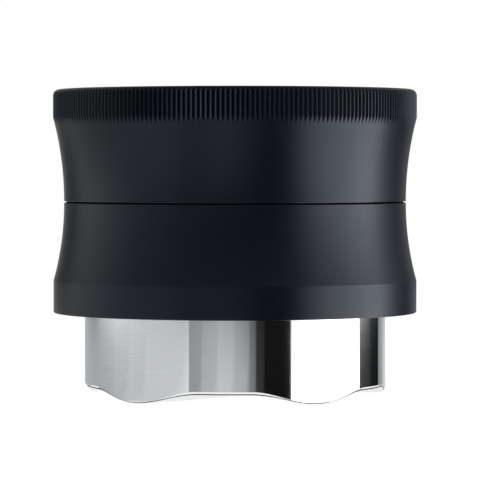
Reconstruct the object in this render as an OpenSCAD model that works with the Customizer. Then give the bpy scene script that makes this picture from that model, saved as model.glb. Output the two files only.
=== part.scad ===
// Espresso coffee distributor with a screw-set depth.
// The collar rests on the rim of the filter basket. Turning the knob screws the
// threaded carrier through the collar, and the steel base rises or falls with it.
// Origin: on the axis, in the plane of the blade crests. The base is fully out.

/* [Base] */
// Diameter of the steel base, which fits a 58 mm basket
base_d = 58; // [54:0.5:62]
// Reach of the blade crests below the collar when the base is fully out
base_reach = 16; // [13:0.5:22]
// Length of the round land that guides the base in the collar
guide_h = 3; // [2.6:0.1:5]
// Radial clearance of the base in the collar
guide_clearance = 0.3; // [0.2:0.05:0.5]
// Number of blades on the underside
blade_count = 5; // [3:1:6]
// Height of the blades below the valley floors
blade_h = 1.9; // [1:0.1:3]
// Angle that one blade takes up at the rim
blade_span = 52; // [30:1:60]
// Angle by which the blade crests sweep on from the rim to the centre
blade_sweep = 18; // [0:1:40]
// Direction of the first blade, counter-clockwise from +X
blade_start = -57.9; // [-180:0.1:180]
// Diameter of the flat hub at the centre of the underside
hub_d = 8; // [4:0.5:16]
// Bevel of the lower rim in the middle of a valley. It runs out halfway up the blades.
rim_bevel = 0.6; // [0.2:0.1:1.2]
// Depth of the recess that takes the carrier, from the top of the base
recess_h = 8; // [6:0.5:9]
// Thickness of the rim round that recess
recess_wall = 4.5; // [3.5:0.5:5.5]

/* [Collar] */
// Height of the collar
collar_h = 21.2; // [20:0.2:28]
// Width by which the collar's straight lower band stands out past the base, on each side
rim_overhang = 6.05; // [5:0.05:9]
// Height of that band
collar_band_h = 6.2; // [3:0.2:9]
// Depth by which the waist, where collar and knob meet, is drawn in from that band
waist_draw = 2.05; // [1:0.05:3]
// Edge break on the rims of collar and knob
edge_break = 0.25; // [0.1:0.05:0.5]
// Width of the shoulder between the waist and the neck that the knob turns on
shoulder_w = 6; // [5:0.1:7]
// Wall of the neck
neck_wall = 2.7; // [2.4:0.1:3.2]
// Height of the neck above the waist
neck_h = 6.5; // [6:0.1:8]

/* [Knob] */
// Height of the knob
knob_h = 21.55; // [20:0.05:28]
// Height by which the knurl stands out past the collar's band
knurl_stand = 0.05; // [0:0.05:1]
// Height of the straight knurled band
knurl_band_h = 4.2; // [3:0.1:7]
// Number of knurl grooves
knurl_count = 240; // [60:1:300]
// Depth of the knurl grooves
knurl_depth = 0.38; // [0.2:0.02:0.6]
// Width of the flat left on each knurl crest
knurl_crest = 0.14; // [0.05:0.01:0.3]
// Rounding of the top edge
top_round = 1.2; // [0.6:0.1:3]
// Thickness of the knob's top
knob_top = 4.5; // [4:0.1:6]
// Radial clearance of the stop ring in the knob, into which it rises
knob_room = 1.7; // [0.5:0.1:2]
// Open seam between knob and collar
seam = 0.25; // [0.15:0.05:0.6]
// Depth of that seam, down to the lip that closes it
seam_depth = 0.5; // [0.4:0.05:0.7]
// Radial clearance of the knob on the neck
turn_clearance = 0.05; // [0.02:0.01:0.1]

/* [Screw and travel] */
// Travel of the base from fully out to fully in
travel = 10; // [4:0.5:10]
// Width of the ledge on the threaded web that the stop ring meets
stop_ledge = 1.5; // [1:0.1:2]
// Radial clearance in the thread
thread_clearance = 0.05; // [0.02:0.01:0.1]
// Height of the threaded web in the collar
web_h = 6; // [4:0.2:7]
// Free gap left at each end of the travel
stop_gap = 0.3; // [0.2:0.1:0.6]
// Wall of the carrier between its bore and its thread
carrier_wall = 9; // [8:0.2:10]
// Thickness of the carrier's floor
carrier_floor = 4; // [3:0.5:5]
// Thickness of the carrier's flange
flange_h = 3; // [2:0.5:4]
// Radial clearance of the flange in the recess
flange_clearance = 0.1; // [0.05:0.05:0.3]
// Land above the stop ring's groove
carrier_land = 1; // [0.8:0.1:2]

/* [Rings] */
// Thickness of the stop ring
stop_ring_t = 1.2; // [0.8:0.1:1.6]
// Depth of the stop ring's groove
stop_groove = 1; // [0.6:0.1:1.2]
// Radial clearance of the stop ring in the collar's neck
stop_ring_room = 0.8; // [0.3:0.1:1]
// Opening of the stop ring
stop_ring_gap = 8; // [4:0.5:12]
// Wire diameter of the retaining ring between neck and knob
wire_d = 1.4; // [1:0.1:1.6]
// Height of the retaining ring above the waist
wire_z = 4.6; // [4.2:0.1:5]
// Opening of the retaining ring
wire_gap = 6; // [3:0.5:10]
// Clearance round the retaining ring in the knob
wire_clearance = 0.1; // [0.05:0.05:0.2]
// Cross-section of the friction ring
friction_t = 1.5; // [1:0.1:1.8]
// Height of the friction ring above the waist
friction_z = 1.8; // [1.4:0.1:2.2]
// Cross-section of the base seal
seal_t = 1.5; // [1:0.1:1.8]
// Free gap between a rubber ring and the wall it rubs on
ring_rub = 0.02; // [0.01:0.01:0.05]
// Width of the thrust washer
washer_w = 4; // [2:0.2:4.4]
// Thickness of the thrust washer
washer_t = 0.7; // [0.5:0.1:1.2]
// Running gap above the thrust washer and above the seam's lip
washer_gap = 0.05; // [0.02:0.01:0.1]

/* [Pins and screws] */
// Number of drive pins
pin_count = 3; // [2:1:6]
// Diameter of a drive pin
pin_d = 4; // [3:0.5:4]
// Depth to which a pin is pressed into the knob's top
pin_press = 3; // [2:0.1:3.4]
// Length of pin in the carrier when the base is fully out
pin_grip = 6; // [4:0.5:8]
// Radial clearance of the pins in the carrier
pin_clearance = 0.05; // [0.02:0.01:0.1]
// Number of screws that hold the base to the carrier
screw_count = 3; // [2:1:4]
// Diameter of a base screw
screw_d = 4; // [3:0.5:4]
// Room between the heads of the base screws and the carrier's bore
screw_room = 1.5; // [0.5:0.1:2]
// Depth of a base screw in the base
screw_bite = 6; // [4:0.5:7]

/* [Hidden] */
$fn = 96;

eps = 0.01;

// Cap-head proportions of the screws
screw_head_d = 1.75 * screw_d;
screw_socket_d = 0.85 * screw_d;
screw_hole_d = screw_d + 0.3;

// Radii, which all follow from the base
base_r = base_d / 2;
band_r = base_r + rim_overhang;
knurl_r = band_r + knurl_stand;
waist_r = band_r - waist_draw;
neck_r = waist_r - shoulder_w;
stop_ring_r = neck_r - neck_wall - stop_ring_room;
knob_room_r = stop_ring_r + knob_room;
thread_r = stop_ring_r - stop_ledge;
carrier_bore_r = thread_r - carrier_wall;
pin_circle_r = (carrier_bore_r + thread_r) / 2;
screw_circle_r = carrier_bore_r - screw_room - screw_head_d / 2;

// Levels along the axis, with the base fully out
collar_z = base_reach;
seam_z = collar_z + collar_h;
knob_z = seam_z + seam;
top_z = knob_z + knob_h;
ceiling_z = top_z - knob_top;
base_top_z = collar_z + guide_h;
recess_z = base_top_z - recess_h;
web_z = base_top_z + travel + stop_gap;
web_top_z = web_z + web_h;
neck_top_z = seam_z + neck_h;
stop_z = web_top_z + stop_gap;
carrier_top_z = stop_z + stop_ring_t + carrier_land;
pin_low_z = carrier_top_z - pin_grip;

// Radii shared by pieces that fit together
guide_r = base_r + guide_clearance;
recess_r = base_r - recess_wall;
bore_r = neck_r + turn_clearance;
seal_r = guide_r - ring_rub;
friction_r = bore_r - ring_rub;
washer_in_r = neck_r + (waist_r - neck_r - washer_w) / 2;
washer_z = seam_z + seam - washer_gap - washer_t;

// Radius of a concave flank at height z above the waist. Its arc is upright at the waist
// and meets the band at height rise, which is negative where the flank runs down.
function flank_r(r_end, rise, z) =
    let (swell = r_end - waist_r, arc_r = (rise * rise + swell * swell) / (2 * swell))
    waist_r + arc_r - sqrt(arc_r * arc_r - z * z);

// The flank as points (radius, height above the waist), from a small height at the waist on
function flank(r_end, rise, from, steps = 24) =
    [for (i = [0 : steps]) let (z = from + (rise - from) * i / steps) [flank_r(r_end, rise, z), z]];

// A quarter round between two points of a profile, turning outwards to inwards
function rounding(r, z, size, steps = 8) =
    [for (i = [0 : steps]) let (a = 90 * i / steps) [r - size + size * cos(a), z - size + size * sin(a)]];

function shift_z(points, z) = [for (p = points) [p.x, p.y + z]];
function reversed(points) = [for (i = [len(points) - 1 : -1 : 0]) points[i]];

module ring_of(count, circle_r, start = 0) {
    for (i = [0 : count - 1])
        rotate(start + i * 360 / count) translate([circle_r, 0, 0]) children();
}

// A plain tube from z to z + h
module tube(r_out, r_in, z, h) {
    translate([0, 0, z]) difference() {
        cylinder(r = r_out, h = h);
        translate([0, 0, -eps]) cylinder(r = r_in, h = h + 2 * eps);
    }
}

// A round-section ring
module torus(r_mid, section_d, z) {
    translate([0, 0, z]) rotate_extrude() translate([r_mid, 0]) circle(d = section_d, $fn = 32);
}

// ---- Knob ----

// The knob's turned outside, with the concave flank below the knurled band
module knob_blank() {
    band_z = knob_h - top_round - knurl_band_h;
    translate([0, 0, knob_z]) rotate_extrude($fn = 240) polygon(concat(
        [[0, 0], [waist_r - edge_break, 0]],
        flank(knurl_r, band_z, edge_break),
        rounding(knurl_r, knob_h, top_round),
        [[0, knob_h]]));
}

// Outline of the straight knurl: a V groove and a narrow crest, repeated
module knurl_outline() {
    pitch = 360 / knurl_count;
    crest_r = knurl_r + eps;
    crest_a = knurl_crest / crest_r * 180 / PI / 2;
    polygon([for (i = [0 : knurl_count - 1], p = [
        [crest_r, -crest_a], [crest_r, crest_a], [knurl_r - knurl_depth, pitch / 2]])
        let (a = i * pitch + p.y) p.x * [cos(a), sin(a)]]);
}

module knob() {
    color("#1b2023") difference() {
        intersection() {
            knob_blank();
            translate([0, 0, knob_z - eps]) linear_extrude(knob_h + 2 * eps) knurl_outline();
        }
        // Bore that runs on the neck
        translate([0, 0, knob_z - 1]) cylinder(r = bore_r, h = neck_top_z + stop_gap - knob_z + 1);
        // Room above the neck, into which the carrier rises
        translate([0, 0, knob_z]) cylinder(r = knob_room_r, h = ceiling_z - knob_z);
        // Groove for the retaining ring
        translate([0, 0, seam_z + wire_z - wire_d / 2 - wire_clearance])
            cylinder(r = neck_r + wire_d / 2 + wire_clearance, h = wire_d + 2 * wire_clearance);
        // Seats of the drive pins
        ring_of(pin_count, pin_circle_r)
            translate([0, 0, ceiling_z - eps]) cylinder(d = pin_d, h = pin_press + eps, $fn = 32);
    }
}

module drive_pins() {
    color("#b9bcbd") ring_of(pin_count, pin_circle_r)
        translate([0, 0, pin_low_z])
            cylinder(d = pin_d, h = ceiling_z + pin_press - pin_low_z, $fn = 32);
}

// ---- Collar ----

module collar_blank() {
    drop = collar_band_h - collar_h;
    rotate_extrude($fn = 240) polygon(concat(
        [[0, collar_z], [band_r - edge_break, collar_z], [band_r, collar_z + edge_break]],
        reversed(shift_z(flank(band_r, drop, -edge_break), seam_z)),
        [[waist_r - edge_break, seam_z], [waist_r - seam_depth, seam_z],
         [waist_r - seam_depth, knob_z - washer_gap],
         [washer_in_r + washer_w / 2, knob_z - washer_gap],
         [washer_in_r + washer_w / 2, seam_z], [neck_r, seam_z],
         [neck_r, neck_top_z - edge_break], [neck_r - edge_break, neck_top_z], [0, neck_top_z]]));
}

module collar() {
    color("#1b2023") difference() {
        collar_blank();
        // Counterbore that guides the base
        translate([0, 0, collar_z - 1]) cylinder(r = guide_r, h = web_z - collar_z + 1);
        // Lead-in at the mouth of the counterbore
        translate([0, 0, collar_z - eps])
            cylinder(r1 = guide_r + edge_break, r2 = guide_r, h = edge_break);
        // Threaded hole in the web
        translate([0, 0, web_z - 1]) cylinder(r = thread_r + thread_clearance, h = web_h + 2);
        // Room inside the neck for the stop ring
        translate([0, 0, web_top_z]) cylinder(r = neck_r - neck_wall, h = neck_top_z - web_top_z + 1);
        // Seat of the thrust washer, inside the lip that closes the seam
        tube(washer_in_r + washer_w, washer_in_r, washer_z, washer_t + 1);
        // Groove of the friction ring
        tube(neck_r + 1, friction_r - friction_t, seam_z + friction_z - friction_t / 2, friction_t);
        // Groove of the retaining ring
        tube(neck_r + 1, neck_r - wire_d / 2, seam_z + wire_z - wire_d / 2, wire_d);
    }
}

module thrust_washer() {
    color("#222325") tube(washer_in_r + washer_w, washer_in_r, washer_z, washer_t);
}

module friction_ring() {
    color("#202020") torus(friction_r - friction_t / 2, friction_t, seam_z + friction_z);
}

module retaining_ring() {
    color("#a9adaf") difference() {
        torus(neck_r, wire_d, seam_z + wire_z);
        translate([neck_r, 0, seam_z + wire_z]) cube([2 * wire_d, wire_gap, 2 * wire_d], center = true);
    }
}

// ---- Base ----

// Depth of the valleys grows from the hub to the rim, and the crests stay level
function valley_depth(r) =
    let (hub_r = hub_d / 2)
    r <= hub_r ? 0 : blade_h * sin(90 * min(1, (r - hub_r) / (base_r - hub_r)));

// Angle from the nearest crest at radius r
function from_crest(r, a) =
    let (pitch = 360 / blade_count, b = a - blade_start - blade_sweep * (1 - r / base_r))
    b - pitch * round(b / pitch);

// Height of the underside: a cosine blade within its span, a valley floor beside it, and the rim's bevel
function underside(r, a) =
    let (b = min(abs(from_crest(r, a)), blade_span / 2),
         share = (1 - cos(360 * b / blade_span)) / 2)
    (valley_depth(r) + max(0, r - base_r + rim_bevel) * share) * share;

// Everything above the bladed underside, as one lofted solid
module above_underside() {
    steps = 24 * blade_count;
    rings = 10;
    r_out = base_r + 2;
    top = base_top_z + 1;
    radii = [for (j = [1 : rings]) j < rings ? (base_r - rim_bevel) * j / (rings - 1) : r_out];
    points = concat(
        [[0, 0, 0]],
        [for (r = radii, i = [0 : steps - 1])
            let (a = 360 * i / steps) [r * cos(a), r * sin(a), underside(r, a)]],
        [for (i = [0 : steps - 1]) let (a = 360 * i / steps) [r_out * cos(a), r_out * sin(a), top]]);
    // Index of point i in ring j, counted round
    function at(j, i) = 1 + (j - 1) * steps + i % steps;
    polyhedron(points, concat(
        [for (i = [0 : steps - 1]) [0, at(1, i), at(1, i + 1)]],
        [for (j = [1 : rings - 1], i = [0 : steps - 1], half = [0, 1])
            half == 0 ? [at(j, i), at(j + 1, i), at(j + 1, i + 1)]
                      : [at(j, i), at(j + 1, i + 1), at(j, i + 1)]],
        [for (i = [0 : steps - 1])
            [at(rings, i), at(rings + 1, i), at(rings + 1, i + 1), at(rings, i + 1)]],
        [[for (i = [steps - 1 : -1 : 0]) at(rings + 1, i)]]));
}

// The turned blank, with its straight wall
module base_blank() {
    rotate_extrude($fn = 240) polygon([
        [0, -1], [base_r, -1], [base_r, base_top_z - edge_break], [base_r - edge_break, base_top_z],
        [0, base_top_z]]);
}

module distributor_base() {
    color("#c9cccd") difference() {
        intersection() {
            base_blank();
            above_underside();
        }
        // Recess that takes the carrier's flange
        translate([0, 0, recess_z]) cylinder(r = recess_r, h = recess_h + 1);
        // Groove of the base seal
        tube(base_r + 1, seal_r - seal_t, collar_z + (guide_h - seal_t) / 2, seal_t);
        // Blind holes of the base screws
        ring_of(screw_count, screw_circle_r)
            translate([0, 0, recess_z - screw_bite]) cylinder(d = screw_d, h = screw_bite + 1, $fn = 32);
    }
}

module threaded_carrier() {
    color("#c7a75a") difference() {
        union() {
            translate([0, 0, recess_z]) cylinder(r = recess_r - flange_clearance, h = flange_h);
            translate([0, 0, recess_z]) cylinder(r = thread_r, h = carrier_top_z - recess_z);
        }
        translate([0, 0, recess_z + carrier_floor]) cylinder(r = carrier_bore_r, h = carrier_top_z);
        // Groove of the stop ring
        tube(thread_r + 1, thread_r - stop_groove, stop_z, stop_ring_t);
        // Holes that run on the drive pins
        ring_of(pin_count, pin_circle_r)
            translate([0, 0, pin_low_z - travel - stop_gap])
                cylinder(d = pin_d + 2 * pin_clearance, h = carrier_top_z, $fn = 32);
        // Holes for the base screws
        ring_of(screw_count, screw_circle_r)
            translate([0, 0, recess_z - 1]) cylinder(d = screw_hole_d, h = carrier_floor + 2, $fn = 32);
    }
}

module carrier_screws() {
    head_z = recess_z + carrier_floor;
    color("#8f9496") ring_of(screw_count, screw_circle_r) difference() {
        union() {
            translate([0, 0, recess_z - screw_bite])
                cylinder(d = screw_d, h = carrier_floor + screw_bite, $fn = 32);
            translate([0, 0, head_z]) cylinder(d = screw_head_d, h = screw_d, $fn = 32);
        }
        translate([0, 0, head_z + screw_d / 2]) cylinder(d = screw_socket_d, h = screw_d, $fn = 6);
    }
}

module stop_ring() {
    color("#a9adaf") difference() {
        tube(stop_ring_r, thread_r - stop_groove, stop_z, stop_ring_t);
        translate([thread_r, 0, stop_z]) cube([thread_r, stop_ring_gap, 4 * stop_ring_t], center = true);
    }
}

module base_seal() {
    color("#202020") torus(seal_r - seal_t / 2, seal_t, collar_z + guide_h / 2);
}

knob();
drive_pins();
collar();
thrust_washer();
friction_ring();
retaining_ring();
distributor_base();
threaded_carrier();
carrier_screws();
stop_ring();
base_seal();
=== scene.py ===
"""Espresso coffee distributor: the looks of the tool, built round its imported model."""
import math

import bmesh
import bpy
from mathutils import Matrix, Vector


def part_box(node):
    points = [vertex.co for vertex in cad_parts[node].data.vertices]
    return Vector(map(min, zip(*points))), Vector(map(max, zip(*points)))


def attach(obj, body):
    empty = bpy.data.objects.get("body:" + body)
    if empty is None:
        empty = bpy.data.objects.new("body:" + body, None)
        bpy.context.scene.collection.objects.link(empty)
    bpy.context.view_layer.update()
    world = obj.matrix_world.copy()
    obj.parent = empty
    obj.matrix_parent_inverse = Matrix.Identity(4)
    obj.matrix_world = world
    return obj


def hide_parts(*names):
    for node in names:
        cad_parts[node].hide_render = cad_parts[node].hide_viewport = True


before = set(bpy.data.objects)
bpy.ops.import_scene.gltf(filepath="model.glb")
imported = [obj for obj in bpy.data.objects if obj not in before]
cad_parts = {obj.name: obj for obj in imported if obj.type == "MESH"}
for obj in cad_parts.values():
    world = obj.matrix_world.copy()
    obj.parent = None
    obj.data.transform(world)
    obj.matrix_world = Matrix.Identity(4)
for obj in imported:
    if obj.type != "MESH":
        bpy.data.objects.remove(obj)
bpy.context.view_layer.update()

MM = 0.001
TURN = 2 * math.pi

# ---- Sizes in millimetres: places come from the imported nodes, details repeat the part's own values ----

knob_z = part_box("knob")[0].z / MM
top_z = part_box("knob")[1].z / MM
knurl_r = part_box("knob")[1].x / MM
collar_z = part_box("collar")[0].z / MM
neck_top_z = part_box("collar")[1].z / MM
band_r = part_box("collar")[1].x / MM
base_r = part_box("distributor_base")[1].x / MM
base_top_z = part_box("distributor_base")[1].z / MM

# Seam and neck
seam = 0.25
seam_depth = 0.5
waist_draw = 2.05
shoulder_w = 6
neck_wall = 2.7
turn_clearance = 0.05
edge_break = 0.25
seam_z = knob_z - seam
waist_r = band_r - waist_draw
neck_r = waist_r - shoulder_w
bore_r = neck_r + turn_clearance
# Rounding of the two edges of the seam
lip = 0.12

# Knob
top_round = 1.2
knurl_band_h = 4.2
knurl_count = 240
knurl_depth = 0.38
knurl_crest = 0.14
knob_top = 4.5
pin_d = 4
pin_circle_r = 17.5
pin_press = 3
pin_count = 3

# Rings and washer on the neck
wire_d = 1.4
wire_z = 4.6
wire_clearance = 0.1
friction_t = 1.5
friction_z = 1.8
ring_rub = 0.02
washer_w = 4
washer_t = 0.7
washer_gap = 0.05
washer_room = 1
washer_in_r = neck_r + washer_room
washer_z = knob_z - washer_gap - washer_t

# Threaded web, travel and stops
travel = 10
stop_gap = 0.3
stop_ring_room = 0.8
stop_ledge = 1.5
knob_room = 1.7
thread_clearance = 0.05
web_h = 6
web_z = base_top_z + travel + stop_gap
stop_ring_r = neck_r - neck_wall - stop_ring_room
knob_room_r = stop_ring_r + knob_room
thread_bore_r = stop_ring_r - stop_ledge + thread_clearance

# Collar's band and the guide for the base
collar_band_h = 6.2
guide_h = 3
guide_clearance = 0.3
guide_r = base_r + guide_clearance
seal_t = 1.5
seal_z = collar_z + guide_h / 2
seal_root_r = guide_r - ring_rub - seal_t

# Base. A narrow edge of one height runs round its rim, in nearly black steel that paints a thin line of shade
# there. It slants at the crests and is upright in the valleys.
blade_count = 5
blade_h = 1.9
blade_span = 52
blade_sweep = 18
blade_start = -57.9
hub_r = 4
rim_bevel = 0.6
rim_edge = 0.15
recess_wall = 4.5
recess_h = 8
recess_r = base_r - recess_wall
recess_z = base_top_z - recess_h
screw_d = 4
screw_circle_r = 8
screw_bite = 6
screw_count = 3

# Points along the turned curves, and steps round the axis
flank_rows = 18
knurl_rows = 8
crown_rows = 5
pitch_steps = 4
collar_rows = 24
collar_steps = 480
blade_columns = 96
underside_rows = 14
hole_steps = 32
# Part of a rounding's radius by which the middle of the rounding stands in from the corner
corner = 0.3
# Length by which a drill bit starts outside its hole
drill_start = 1
# Margin for picking faces by their height, and margin for comparing two places on a profile
hair = 0.01
tiny = 1e-4


# ---- Work in edit mode ----

def new_piece(name, add, **place):
    """A primitive under its own name, alone in the selection."""
    bpy.ops.object.select_all(action="DESELECT")
    add(**place)
    piece = bpy.context.object
    piece.name = piece.data.name = name
    return piece


def close_up(piece):
    """Doubles merged, and every face turned outwards."""
    bpy.ops.mesh.select_all(action="SELECT")
    bpy.ops.mesh.remove_doubles(threshold=1e-6)
    bpy.ops.mesh.dissolve_degenerate(threshold=1e-7)
    bpy.ops.mesh.select_all(action="SELECT")
    bpy.ops.mesh.normals_make_consistent(inside=False)
    bpy.ops.object.mode_set(mode="OBJECT")
    return piece


def drawn(name, profile):
    """A profile in the XZ plane, each point extruded from the one before. It stays in edit mode."""
    piece = new_piece(name, bpy.ops.mesh.primitive_plane_add, size=MM)
    bpy.ops.object.mode_set(mode="EDIT")
    bpy.ops.mesh.select_all(action="SELECT")
    bpy.ops.mesh.merge(type="CENTER")
    bpy.ops.transform.translate(value=(profile[0][0] * MM, 0, profile[0][1] * MM))
    for (r0, z0), (r1, z1) in zip(profile, profile[1:]):
        bpy.ops.mesh.extrude_region_move(
            TRANSFORM_OT_translate={"value": ((r1 - r0) * MM, 0, (z1 - z0) * MM)})
    bpy.ops.mesh.select_all(action="SELECT")
    return piece


def spin(steps, angle, copies=False):
    """Turns a drawn line about the axis into a wall, or repeats a piece of wall round it."""
    bpy.ops.mesh.select_all(action="SELECT")
    bpy.ops.mesh.spin(steps=steps, dupli=copies, angle=angle, center=(0, 0, 0), axis=(0, 0, 1))


def select_points(piece, chosen):
    """Selects the vertices with these indices, in edit mode."""
    bpy.ops.mesh.select_all(action="DESELECT")
    mesh = bmesh.from_edit_mesh(piece.data)
    mesh.verts.ensure_lookup_table()
    for i in chosen:
        mesh.verts[i].select = True
    mesh.select_flush(True)
    bmesh.update_edit_mesh(piece.data)


def swing(angle):
    """Turns the selection counter-clockwise about the axis. Without a window, the operator itself takes a
    positive angle clockwise."""
    bpy.ops.transform.rotate(value=-angle, orient_axis="Z", center_override=(0, 0, 0))


def drill(piece, count, circle, d, low, high):
    """Blind holes evenly round a circle, cut by upright cylinders from height low to high, in millimetres."""
    for i in range(count):
        angle = i * TURN / count
        drill_bit = new_piece(
            "drill_bit", bpy.ops.mesh.primitive_cylinder_add, vertices=hole_steps, radius=d / 2 * MM,
            depth=(high - low) * MM,
            location=(circle * math.cos(angle) * MM, circle * math.sin(angle) * MM, (low + high) / 2 * MM))
        bpy.ops.object.select_all(action="DESELECT")
        piece.select_set(True)
        bpy.context.view_layer.objects.active = piece
        cut = piece.modifiers.new("hole", "BOOLEAN")
        cut.operation = "DIFFERENCE"
        cut.solver = "EXACT"
        cut.object = drill_bit
        bpy.ops.object.modifier_apply(modifier=cut.name)
        bpy.data.objects.remove(drill_bit)


def smooth(piece, degrees):
    """Smooth shading, but for edges sharper than this."""
    bpy.ops.object.select_all(action="DESELECT")
    piece.select_set(True)
    bpy.context.view_layer.objects.active = piece
    bpy.ops.object.shade_smooth_by_angle(angle=math.radians(degrees))


def paint_seam_shade(piece, low, high):
    """Adds the seam's painted shade, and gives it to the faces inside the seam between two heights."""
    piece.data.materials.append(seam_shade_finish)
    for face in piece.data.polygons:
        x, y, z = face.center
        if neck_r < math.hypot(x, y) / MM < waist_r - lip and low < z / MM < high:
            face.material_index = 1


def settle(piece, body, slot, *nodes):
    """The finished piece rides on its body and stands for its nodes."""
    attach(piece, body)
    if nodes:
        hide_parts(*nodes)


def flank_r(r_end, rise, z):
    """Radius of a concave flank at height z above the waist. It is upright at the waist."""
    swell = r_end - waist_r
    arc_r = (rise * rise + swell * swell) / (2 * swell)
    return waist_r + arc_r - math.sqrt(arc_r * arc_r - z * z)


def between(a, b, steps):
    """Values from a to b in equal steps, with both ends."""
    return [a + (b - a) * i / steps for i in range(steps + 1)]


# ---- Finishes ----

def shader_of(finish):
    return finish.node_tree.nodes["Principled BSDF"]


def new_finish(name, color, metallic, roughness, ior=1.5, anisotropic=0.0):
    """A finish that is the same all over, until textures are linked to it."""
    finish = bpy.data.materials.new(name)
    finish.use_nodes = True
    shader = shader_of(finish)
    shader.inputs["Base Color"].default_value = (*color, 1)
    shader.inputs["Metallic"].default_value = metallic
    shader.inputs["Roughness"].default_value = roughness
    shader.inputs["IOR"].default_value = ior
    shader.inputs["Anisotropic"].default_value = anisotropic
    return finish


def node(finish, kind, **values):
    """A new node of this kind, with the given numbers in its sockets and the given settings."""
    made = finish.node_tree.nodes.new(kind)
    for key, value in values.items():
        if isinstance(value, (int, float)) and key in made.inputs:
            made.inputs[key].default_value = value
        else:
            setattr(made, key, value)
    return made


def link(finish, a, out, b, into):
    """Joins an output of node a to an input of node b."""
    finish.node_tree.links.new(a.outputs[out], b.inputs[into])


def place_of(finish, scale=(1, 1, 1)):
    """The place on the piece, stretched by scale."""
    at = node(finish, "ShaderNodeTexCoord")
    stretch = node(finish, "ShaderNodeMapping")
    stretch.inputs["Scale"].default_value = scale
    link(finish, at, "Object", stretch, "Vector")
    return stretch


def grain(finish, place, size_mm, detail=2.0, roughness=0.5):
    """Noise whose grains are about size_mm across."""
    noise = node(finish, "ShaderNodeTexNoise", Scale=1 / (size_mm * MM), Detail=detail, Roughness=roughness)
    link(finish, place, "Vector", noise, "Vector")
    return noise


def spread(finish, source, low, high):
    """A texture's middle range brought to low..high."""
    ramp = node(finish, "ShaderNodeMapRange")
    for key, value in (("From Min", 0.3), ("From Max", 0.7), ("To Min", low), ("To Max", high)):
        ramp.inputs[key].default_value = value
    link(finish, source, "Fac", ramp, "Value")
    return ramp


def rough_by(finish, source, low, high):
    """Roughness that varies between low and high with a texture."""
    link(finish, spread(finish, source, low, high), "Result", shader_of(finish), "Roughness")


def bump_by(finish, source, height_mm, strength=1.0):
    """Fine relief from a texture."""
    bump = node(finish, "ShaderNodeBump", Strength=strength, Distance=height_mm * MM)
    link(finish, source, "Fac", bump, "Height")
    link(finish, bump, "Normal", shader_of(finish), "Normal")


def tint_by(finish, source, dark, light):
    """Colour that varies from dark to light with a texture."""
    mix = node(finish, "ShaderNodeMix", data_type="RGBA")
    # The node's sockets for colours come after those for numbers and vectors
    from_color, to_color, mixed = mix.inputs[6], mix.inputs[7], mix.outputs[2]
    from_color.default_value = (*dark, 1)
    to_color.default_value = (*light, 1)
    part = spread(finish, source, 0, 1)
    finish.node_tree.links.new(part.outputs["Result"], mix.inputs[0])
    finish.node_tree.links.new(mixed, shader_of(finish).inputs["Base Color"])


def turned_lay(finish):
    """The lay of the tool marks: round the axis, so the gloss spreads up and down."""
    lay = node(finish, "ShaderNodeTangent", direction_type="RADIAL", axis="Z")
    shader_of(finish).inputs["Anisotropic Rotation"].default_value = 0.25
    link(finish, lay, "Tangent", shader_of(finish), "Tangent")


def anodised_black():
    """Satin black anodise over a fine bead blast."""
    finish = new_finish("anodised_black", (0.0006, 0.0014, 0.0055), 0, 0.32, ior=1.39)
    shader_of(finish).inputs["Specular Tint"].default_value = (0.86, 0.94, 1, 1)
    rough_by(finish, grain(finish, place_of(finish), 2.5, detail=4), 0.3, 0.34)
    cloud = grain(finish, place_of(finish), 6, detail=3)
    tint_by(finish, cloud, (0.0004, 0.0011, 0.0048), (0.0008, 0.0017, 0.0062))
    bump_by(finish, grain(finish, place_of(finish), 0.16, detail=3), 0.004, 0.6)
    return finish


def painted_seam_shade():
    """Painted shade for the running faces in the open seam: nearly black, rough and hardly glossy, so that
    the seam shows dark.
    """
    finish = new_finish("painted_seam_shade", (0.001, 0.001, 0.001), 0, 0.9, ior=1.1)
    rough_by(finish, grain(finish, place_of(finish), 0.6, detail=3), 0.8, 1)
    return finish


def turned_steel():
    """Steel with the fine lines that the turning tool left round it."""
    finish = new_finish("turned_steel", (0.75, 0.76, 0.77), 1, 0.11, anisotropic=1.0)
    lines = grain(finish, place_of(finish, (0.04, 0.04, 1)), 0.15, detail=4, roughness=0.6)
    rough_by(finish, lines, 0.08, 0.11)
    tint_by(finish, lines, (0.72, 0.73, 0.74), (0.78, 0.79, 0.8))
    bump_by(finish, lines, 0.0016, 0.5)
    turned_lay(finish)
    return finish


def polished_steel():
    """The rim's bevel, polished bright."""
    finish = new_finish("polished_steel", (0.88, 0.885, 0.89), 1, 0.14)
    haze = grain(finish, place_of(finish), 1.2, detail=4)
    rough_by(finish, haze, 0.1, 0.18)
    bump_by(finish, haze, 0.002, 0.25)
    return finish


def lapped_steel():
    """The blades' faces, milled and lapped a shade duller than the rim's bevel."""
    finish = new_finish("lapped_steel", (0.74, 0.75, 0.765), 1, 0.2)
    haze = grain(finish, place_of(finish), 1.2, detail=4)
    rough_by(finish, haze, 0.16, 0.24)
    tint_by(finish, haze, (0.7, 0.71, 0.725), (0.78, 0.79, 0.805))
    bump_by(finish, haze, 0.002, 0.25)
    return finish


def dull_steel():
    """Painted shade on the narrow edge below the wall: steel made nearly black and rough, so that a thin dark
    line shows there.
    """
    finish = new_finish("dull_steel", (0.04, 0.04, 0.042), 1, 0.5)
    rough_by(finish, grain(finish, place_of(finish), 0.4, detail=3), 0.42, 0.58)
    return finish


def bare_aluminium():
    """Turned aluminium, uncoated."""
    finish = new_finish("bare_aluminium", (0.72, 0.72, 0.73), 1, 0.32, anisotropic=0.4)
    lines = grain(finish, place_of(finish, (0.03, 0.03, 1)), 0.25, detail=3)
    rough_by(finish, lines, 0.26, 0.4)
    bump_by(finish, lines, 0.004, 0.5)
    turned_lay(finish)
    return finish


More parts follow.
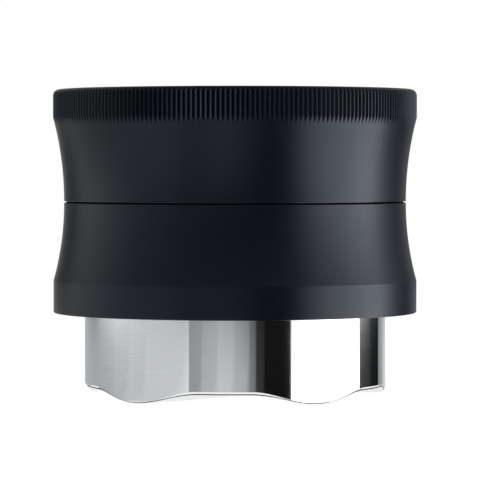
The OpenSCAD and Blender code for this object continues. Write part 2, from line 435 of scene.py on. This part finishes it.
def hard_steel():
    """Ground and lightly oiled steel of pins, screws and rings."""
    finish = new_finish("hard_steel", (0.5, 0.5, 0.51), 1, 0.25)
    haze = grain(finish, place_of(finish), 0.5, detail=4)
    rough_by(finish, haze, 0.18, 0.34)
    tint_by(finish, haze, (0.44, 0.44, 0.45), (0.54, 0.54, 0.55))
    return finish


def seal_rubber():
    """Moulded black rubber, matt."""
    finish = new_finish("seal_rubber", (0.02, 0.02, 0.02), 0, 0.7, ior=1.52)
    skin = grain(finish, place_of(finish), 0.3, detail=3)
    rough_by(finish, skin, 0.6, 0.8)
    tint_by(finish, skin, (0.016, 0.016, 0.016), (0.024, 0.024, 0.024))
    bump_by(finish, skin, 0.01, 0.4)
    return finish


def bearing_plastic():
    """Smooth black bearing plastic."""
    finish = new_finish("bearing_plastic", (0.03, 0.03, 0.03), 0, 0.42, ior=1.48)
    skin = grain(finish, place_of(finish), 0.8, detail=3)
    rough_by(finish, skin, 0.36, 0.48)
    tint_by(finish, skin, (0.026, 0.026, 0.026), (0.034, 0.034, 0.034))
    return finish


black = anodised_black()
# Painted shade for the faces inside the open seam
seam_shade_finish = painted_seam_shade()

# ---- Knob: one pitch of the turned and knurled wall, repeated round the axis ----

pitch = TURN / knurl_count
root_r = knurl_r - knurl_depth
crest_a = knurl_crest / knurl_r / 2
flank_h = top_z - top_round - knurl_band_h - knob_z
ceiling_z = top_z - knob_top
# Where the grooves run out: on the flank, found to a thousandth of a millimetre, and on the crown's rounding
heights = [i / 1000 for i in range(int(1000 * flank_h))]
tip_h = next(h for h in heights if flank_r(knurl_r, flank_h, h) > root_r)
tip_turn = math.acos((root_r - knurl_r + top_round) / top_round)


def knob_profile():
    """The knob's section, from the axis at its ceiling, round its mouth and up to the axis on its top."""
    room_z = neck_top_z + stop_gap
    half_groove = wire_d / 2 + wire_clearance
    groove_r = neck_r + half_groove
    groove_low = seam_z + wire_z - half_groove
    groove_high = seam_z + wire_z + half_groove
    inside = [(0, ceiling_z), (pin_circle_r, ceiling_z), (knob_room_r, ceiling_z), (knob_room_r, room_z),
              (bore_r, room_z), (bore_r, groove_high), (groove_r, groove_high), (groove_r, groove_low),
              (bore_r, groove_low), (bore_r, knob_z)]
    mouth = [(waist_r - lip, knob_z), (waist_r - corner * lip, knob_z + corner * lip)]
    rises = between(lip, tip_h, flank_rows) + between(tip_h, flank_h, knurl_rows)[1:]
    flank = [(flank_r(knurl_r, flank_h, h), knob_z + h) for h in rises]
    turns = between(0, tip_turn, crown_rows) + between(tip_turn, TURN / 4, crown_rows)[1:]
    crown = [(knurl_r - top_round * (1 - math.cos(a)), top_z - top_round * (1 - math.sin(a))) for a in turns]
    return inside + mouth + flank + crown + [(knurl_r / 2, top_z), (0, top_z)]


def press_grooves(piece, profile):
    """Presses half a V groove into each side of one pitch. The sides go down to the root. The lines beside
    the crest close in on them as the wall comes down to the root, so the groove runs out in a point."""
    rows = len(profile)
    for row, (r, z) in enumerate(profile):
        if z < knob_z + tip_h - tiny or r < root_r - tiny:
            continue
        open_a = (pitch / 2 - crest_a) * max(0.0, (r - root_r) / knurl_depth)
        select_points(piece, [row, pitch_steps * rows + row])
        bpy.ops.transform.resize(value=(root_r / r, root_r / r, 1), center_override=(0, 0, 0))
        for column, turn in ((1, pitch / 4 - open_a), (3, open_a - pitch / 4)):
            select_points(piece, [column * rows + row])
            swing(turn)


knob_section = knob_profile()
knob = drawn("knob_body", knob_section)
spin(pitch_steps, pitch)
press_grooves(knob, knob_section)
spin(knurl_count, TURN, copies=True)
bpy.ops.mesh.select_all(action="SELECT")
swing(pitch / 2)
close_up(knob)
drill(knob, pin_count, pin_circle_r, pin_d, ceiling_z - drill_start, ceiling_z + pin_press)
smooth(knob, degrees=12)
knob.data.materials.append(black)
# The knob's faces inside the seam get painted shade.
paint_seam_shade(knob, knob_z - hair, knob_z + hair)
settle(knob, "knob_body", "black_anodise", "knob")

# ---- Collar ----


def neck_groove(root_r, middle_z, width):
    """Corners of a groove in the neck, from its upper to its lower edge."""
    high = middle_z + width / 2
    low = middle_z - width / 2
    return [(neck_r, high), (root_r, high), (root_r, low), (neck_r, low)]


def collar_profile():
    """The collar's section, from the foot of its guide bore past web, neck and seam to its band."""
    neck_in_r = neck_r - neck_wall
    friction_root_r = bore_r - ring_rub - friction_t
    washer_out_r = washer_in_r + washer_w
    lip_r = waist_r - seam_depth
    lip_z = knob_z - washer_gap
    inside = [(guide_r + edge_break, collar_z), (guide_r, collar_z + edge_break), (guide_r, web_z),
              (thread_bore_r, web_z), (thread_bore_r, web_z + web_h), (neck_in_r, web_z + web_h),
              (neck_in_r, neck_top_z), (neck_r - edge_break, neck_top_z), (neck_r, neck_top_z - edge_break)]
    neck = neck_groove(neck_r - wire_d / 2, seam_z + wire_z, wire_d)
    neck += neck_groove(friction_root_r, seam_z + friction_z, friction_t)
    shoulder = [(neck_r, seam_z), (washer_in_r, seam_z), (washer_in_r, washer_z), (washer_out_r, washer_z),
                (washer_out_r, lip_z), (lip_r, lip_z), (lip_r, seam_z),
                (waist_r - lip, seam_z), (waist_r - corner * lip, seam_z - corner * lip)]
    drop = seam_z - collar_z - collar_band_h
    flank = [(flank_r(band_r, drop, h), seam_z - h) for h in between(lip, drop, collar_rows)]
    broken = edge_break * (1 - math.cos(TURN / 8))
    band = [(band_r, collar_z + edge_break), (band_r - broken, collar_z + broken),
            (band_r - edge_break, collar_z)]
    return inside + neck + shoulder + flank + band + inside[:1]


collar = drawn("collar_body", collar_profile())
spin(collar_steps, TURN)
close_up(collar)
smooth(collar, degrees=12)
collar.data.materials.append(black)
# The collar's faces inside the seam get painted shade.
paint_seam_shade(collar, seam_z - hair, knob_z)
settle(collar, "collar_body", "black_anodise", "collar")

# ---- Steel base: one blade with half a valley on each side, repeated round the axis ----

# Finishes of the base; the third one is painted shade on the narrow edge below the wall.
turned, polished, dull, lapped = range(4)
base_finishes = (turned_steel(), polished_steel(), dull_steel(), lapped_steel())
# Rows of faces, counted from the middle of the underside: its rows come first, then the edge and the bevel
edge_row = underside_rows + 1
bevel_row = underside_rows + 2
# Distance that the last points of the underside keep from its edge
edge_margin = 0.3


def valley_share(r, a):
    """0 on a blade's crest and 1 on a valley's floor, a degrees round from the crest's outer end."""
    step = 360 / blade_count
    b = a - blade_sweep * (1 - r / base_r)
    b = min(abs(b - step * round(b / step)), blade_span / 2)
    return (1 - math.cos(TURN * b / blade_span)) / 2


def valley_depth(r):
    """Depth of the valleys. It grows from the hub to the rim."""
    return blade_h * math.sin(math.pi / 2 * (r - hub_r) / (base_r - hub_r))


def base_column(a):
    """Points up the base, a degrees round from a crest: from the middle of the underside over the narrow edge
    with painted shade, the bevel, the wall and the seal's groove into the recess."""
    rim = valley_share(base_r, a)
    bevel = rim_bevel * rim * rim
    edge = rim_edge * (1 - rim)
    foot_r = base_r - bevel - edge
    foot_z = valley_depth(foot_r) * rim
    seal_low = seal_z - seal_t / 2
    seal_high = seal_z + seal_t / 2
    line = [(0, 0)]
    line += [(r, valley_depth(r) * valley_share(r, a))
             for r in between(hub_r, foot_r - edge_margin, underside_rows - 1)]
    line += [(foot_r, foot_z), (foot_r + edge, foot_z + rim_edge),
             (base_r, foot_z + rim_edge + bevel * (1 - rim_edge / rim_bevel))]
    line += [(base_r, collar_z), (base_r, seal_low), (seal_root_r, seal_low), (seal_root_r, seal_high),
             (base_r, seal_high), (base_r, base_top_z - edge_break), (base_r - edge_break, base_top_z),
             (recess_r, base_top_z), (recess_r, recess_z), (hub_r, recess_z), (0, recess_z)]
    turn = math.radians(a + blade_start)
    return [Vector((r * math.cos(turn), r * math.sin(turn), z)) * MM for r, z in line]


base_columns = [base_column(a) for a in between(-180 / blade_count, 180 / blade_count, blade_columns)]
base = new_piece("steel_base", bpy.ops.mesh.primitive_grid_add, x_subdivisions=len(base_columns) - 1,
                 y_subdivisions=len(base_columns[0]) - 1, size=MM)
for i, point in enumerate(base.data.vertices):
    row, column = divmod(i, len(base_columns))
    point.co = base_columns[column][row]
for finish in base_finishes:
    base.data.materials.append(finish)
# The edge row gets the nearly black steel that paints a thin line of shade.
for i, face in enumerate(base.data.polygons):
    row = i // (len(base_columns) - 1)
    if row < edge_row:
        face.material_index = lapped
    elif row == edge_row:
        face.material_index = dull
    elif row == bevel_row:
        face.material_index = polished
    else:
        face.material_index = turned
bpy.ops.object.mode_set(mode="EDIT")
spin(blade_count, TURN, copies=True)
close_up(base)
drill(base, screw_count, screw_circle_r, screw_d, recess_z - screw_bite, recess_z + drill_start)
smooth(base, degrees=14)
settle(base, "base_body", "turned_steel", "distributor_base")

# ---- Inner pieces keep their exact solids and get their finish ----

rubber = seal_rubber()
ground_steel = hard_steel()
inner_finish = {
    "threaded_carrier": bare_aluminium(),
    "thrust_washer": bearing_plastic(),
    "friction_ring": rubber,
    "base_seal": rubber,
    "drive_pins": ground_steel,
    "retaining_ring": ground_steel,
    "carrier_screws": ground_steel,
    "stop_ring": ground_steel,
}
for name, finish in inner_finish.items():
    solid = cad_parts[name]
    solid.data.materials.clear()
    solid.data.materials.append(finish)

# ---- Table, studio cards, world and lamps, in metres ----

# Places of the camera, of the point that it looks at, and of the tool's middle, where the lamps point
eye = Vector((0, -0.63, 0.0454))
aim = Vector((0.00097, 0, 0.02994))
middle = Vector((0, 0, 0.03))


def seen_rays(tree):
    """1 on camera, glossy and transmission rays, else 0."""
    path = tree.nodes.new("ShaderNodeLightPath")
    total = path.outputs["Is Camera Ray"]
    for ray in ("Is Glossy Ray", "Is Transmission Ray"):
        add = tree.nodes.new("ShaderNodeMath")
        add.operation = "ADD"
        add.use_clamp = True
        tree.links.new(total, add.inputs[0])
        tree.links.new(path.outputs[ray], add.inputs[1])
        total = add.outputs[0]
    return total


table_size = 8
table_color = (0.95, 0.95, 0.95, 1)
# An even glow makes up most of the table's look, and the matt rest shows the tool's shadow.
glow_share = 0.93
glow_strength = 1.03


def white_table():
    """Plain white table top. Its glow is only seen and lights nothing, and the table is clear from below."""
    top = bpy.data.materials.new("white_table")
    top.use_nodes = True
    tree = top.node_tree
    tree.nodes.clear()
    share = tree.nodes.new("ShaderNodeMath")
    share.operation = "MULTIPLY"
    share.inputs[1].default_value = glow_share
    tree.links.new(seen_rays(tree), share.inputs[0])
    matt = tree.nodes.new("ShaderNodeBsdfDiffuse")
    matt.inputs["Color"].default_value = table_color
    glow = tree.nodes.new("ShaderNodeEmission")
    glow.inputs["Strength"].default_value = glow_strength
    mix = tree.nodes.new("ShaderNodeMixShader")
    tree.links.new(share.outputs[0], mix.inputs[0])
    tree.links.new(matt.outputs[0], mix.inputs[1])
    tree.links.new(glow.outputs[0], mix.inputs[2])
    clear = tree.nodes.new("ShaderNodeBsdfTransparent")
    side = tree.nodes.new("ShaderNodeNewGeometry")
    both = tree.nodes.new("ShaderNodeMixShader")
    tree.links.new(side.outputs["Backfacing"], both.inputs[0])
    tree.links.new(mix.outputs[0], both.inputs[1])
    tree.links.new(clear.outputs[0], both.inputs[2])
    out = tree.nodes.new("ShaderNodeOutputMaterial")
    tree.links.new(both.outputs[0], out.inputs["Surface"])
    return top


table = new_piece("table_top", bpy.ops.mesh.primitive_plane_add, size=table_size)
table.data.materials.append(white_table())

# The cards stand round the tool as a cove: they lie on the table from close to the base and stand upright
# behind. Each line of the cove is an edge or a middle of a card. It runs where the base's wall, so many
# degrees to the right of its front, mirrors the camera's sight: (degrees, brightness of the lying part,
# brightness of the upright part).
cards = [
    (-90, 0.5, 1), (-76, 0.5, 0.1), (-66, 0.5, 0.05), (-60, 0.5, 0.6), (-51, 0.55, 1), (-43, 0.65, 0.8),
    (-35, 0.75, 0.5), (-17.4, 1, 0.2), (-17.1, 0.4, 0.2), (-12, 0.6, 0.15), (-6, 0.8, 0.1), (0, 0.65, 0.05),
    (5.5, 0.3, 0), (7.6, 0.15, 0), (7.8, 0.05, 0), (11, 0.005, 0), (18, 0.005, 0), (20.7, 0.05, 0),
    (21.2, 2, 0.4), (27, 3, 2), (45, 4.5, 4), (53.4, 3, 2.5), (54, 0.03, 0.7), (63, 0.01, 0.1),
    (70, 0.01, 0.05), (70.3, 0.35, 0.1), (76, 0.55, 0.2), (90, 0.65, 0.3)]
# Height of the lying part above the table
card_lift = 0.0002
# Distances of the lying part's ends from the base's wall
card_near = 0.0025
card_far = 0.37
# Steps up the upright part: (distance, height, part of its brightness)
card_steps = [(0.38, card_lift, 1.4), (0.52, card_lift, 1.4), (0.52, 0.1, 0.9), (0.52, 0.2, 0.6),
              (0.52, 0.3, 0.3), (0.52, 0.45, 0.1)]
# Brightness that the room adds to the upright part for each metre of height
room_rise = 0.9
# Where the lines close over the tool, in the dark: distance from the axis, and height
cove_top_r = 0.03
cove_top_z = 0.6
card_color = (0.95, 0.985, 1, 1)


def card_line(degrees):
    """Start on the base's wall and direction of one line of the cove, both in the table's plane."""
    turn = math.radians(degrees)
    normal = Vector((math.sin(turn), -math.cos(turn), 0))
    start = normal * base_r * MM
    sight = start - Vector((eye.x, eye.y, 0))
    sight.normalize()
    return start, sight - 2 * sight.dot(normal) * normal


def cove_mesh():
    """The cove, with the brightness of each point in its attribute level."""
    points = []
    levels = []
    for degrees, table_level, wall_level in cards:
        start, to = card_line(degrees)
        line = [(card_near, card_lift, table_level), (card_far, card_lift, table_level)]
        line += [(reach, z, wall_level * part + room_rise * z) for reach, z, part in card_steps]
        points += [start + to * reach + Vector((0, 0, z)) for reach, z, level in line]
        points.append(to * cove_top_r + Vector((0, 0, cove_top_z)))
        levels += [level for reach, z, level in line] + [0.0]
    rows = len(card_steps) + 3
    faces = []
    for i in range(len(cards) - 1):
        for j in range(rows - 1):
            faces.append((i * rows + j, (i + 1) * rows + j, (i + 1) * rows + j + 1, i * rows + j + 1))
    mesh = bpy.data.meshes.new("studio_cards")
    mesh.from_pydata(points, [], faces)
    mesh.attributes.new("level", "FLOAT", "POINT").data.foreach_set("value", levels)
    return mesh


def card_light():
    """Light of the cards, as bright at each place as the cove's attribute says."""
    finish = bpy.data.materials.new("card_white")
    finish.use_nodes = True
    tree = finish.node_tree
    tree.nodes.clear()
    glow = tree.nodes.new("ShaderNodeEmission")
    glow.inputs["Color"].default_value = card_color
    level = tree.nodes.new("ShaderNodeAttribute")
    level.attribute_name = "level"
    out = tree.nodes.new("ShaderNodeOutputMaterial")
    tree.links.new(level.outputs["Fac"], glow.inputs["Strength"])
    tree.links.new(glow.outputs[0], out.inputs["Surface"])
    return finish


cove = bpy.data.objects.new("studio_cards", cove_mesh())
bpy.context.collection.objects.link(cove)
cove.data.materials.append(card_light())
cove.visible_camera = False
cove.visible_diffuse = False
cove.visible_shadow = False
cove.visible_transmission = False


def studio_world():
    """A pale room that lights the tool, and plain white wherever the room itself is seen."""
    world = bpy.data.worlds.new("studio")
    world.use_nodes = True
    tree = world.node_tree
    tree.nodes.clear()
    room = tree.nodes.new("ShaderNodeBackground")
    room.inputs["Color"].default_value = (0.97, 0.985, 1, 1)
    room.inputs["Strength"].default_value = 0.7
    white = tree.nodes.new("ShaderNodeBackground")
    white.inputs["Color"].default_value = (1, 1, 1, 1)
    white.inputs["Strength"].default_value = 1
    sky = tree.nodes.new("ShaderNodeMixShader")
    out = tree.nodes.new("ShaderNodeOutputWorld")
    tree.links.new(seen_rays(tree), sky.inputs[0])
    tree.links.new(room.outputs[0], sky.inputs[1])
    tree.links.new(white.outputs[0], sky.inputs[2])
    tree.links.new(sky.outputs[0], out.inputs["Surface"])
    return world


bpy.context.scene.world = studio_world()


def soft_lamp(name, place, size, power):
    """A large square lamp aimed at the tool's middle. It isn't mirrored: the cards are."""
    bpy.ops.object.light_add(type="AREA", location=place)
    lamp = bpy.context.object
    lamp.name = name
    lamp.data.size = size
    lamp.data.energy = power
    lamp.rotation_euler = (middle - Vector(place)).to_track_quat("-Z", "Y").to_euler()
    lamp.visible_glossy = False


soft_lamp("lamp_right", place=(0.5, -0.25, 0.5), size=0.5, power=1.2)
soft_lamp("lamp_left", place=(-0.5, -0.25, 0.5), size=0.5, power=0.8)

# ---- Camera ----

bpy.ops.object.camera_add(location=eye)
camera = bpy.context.object
camera.data.sensor_width = 36
camera.data.lens = 244.4
camera.rotation_euler = (aim - eye).to_track_quat("-Z", "Y").to_euler()
bpy.context.scene.camera = camera
bpy.context.scene.view_settings.view_transform = "Standard"
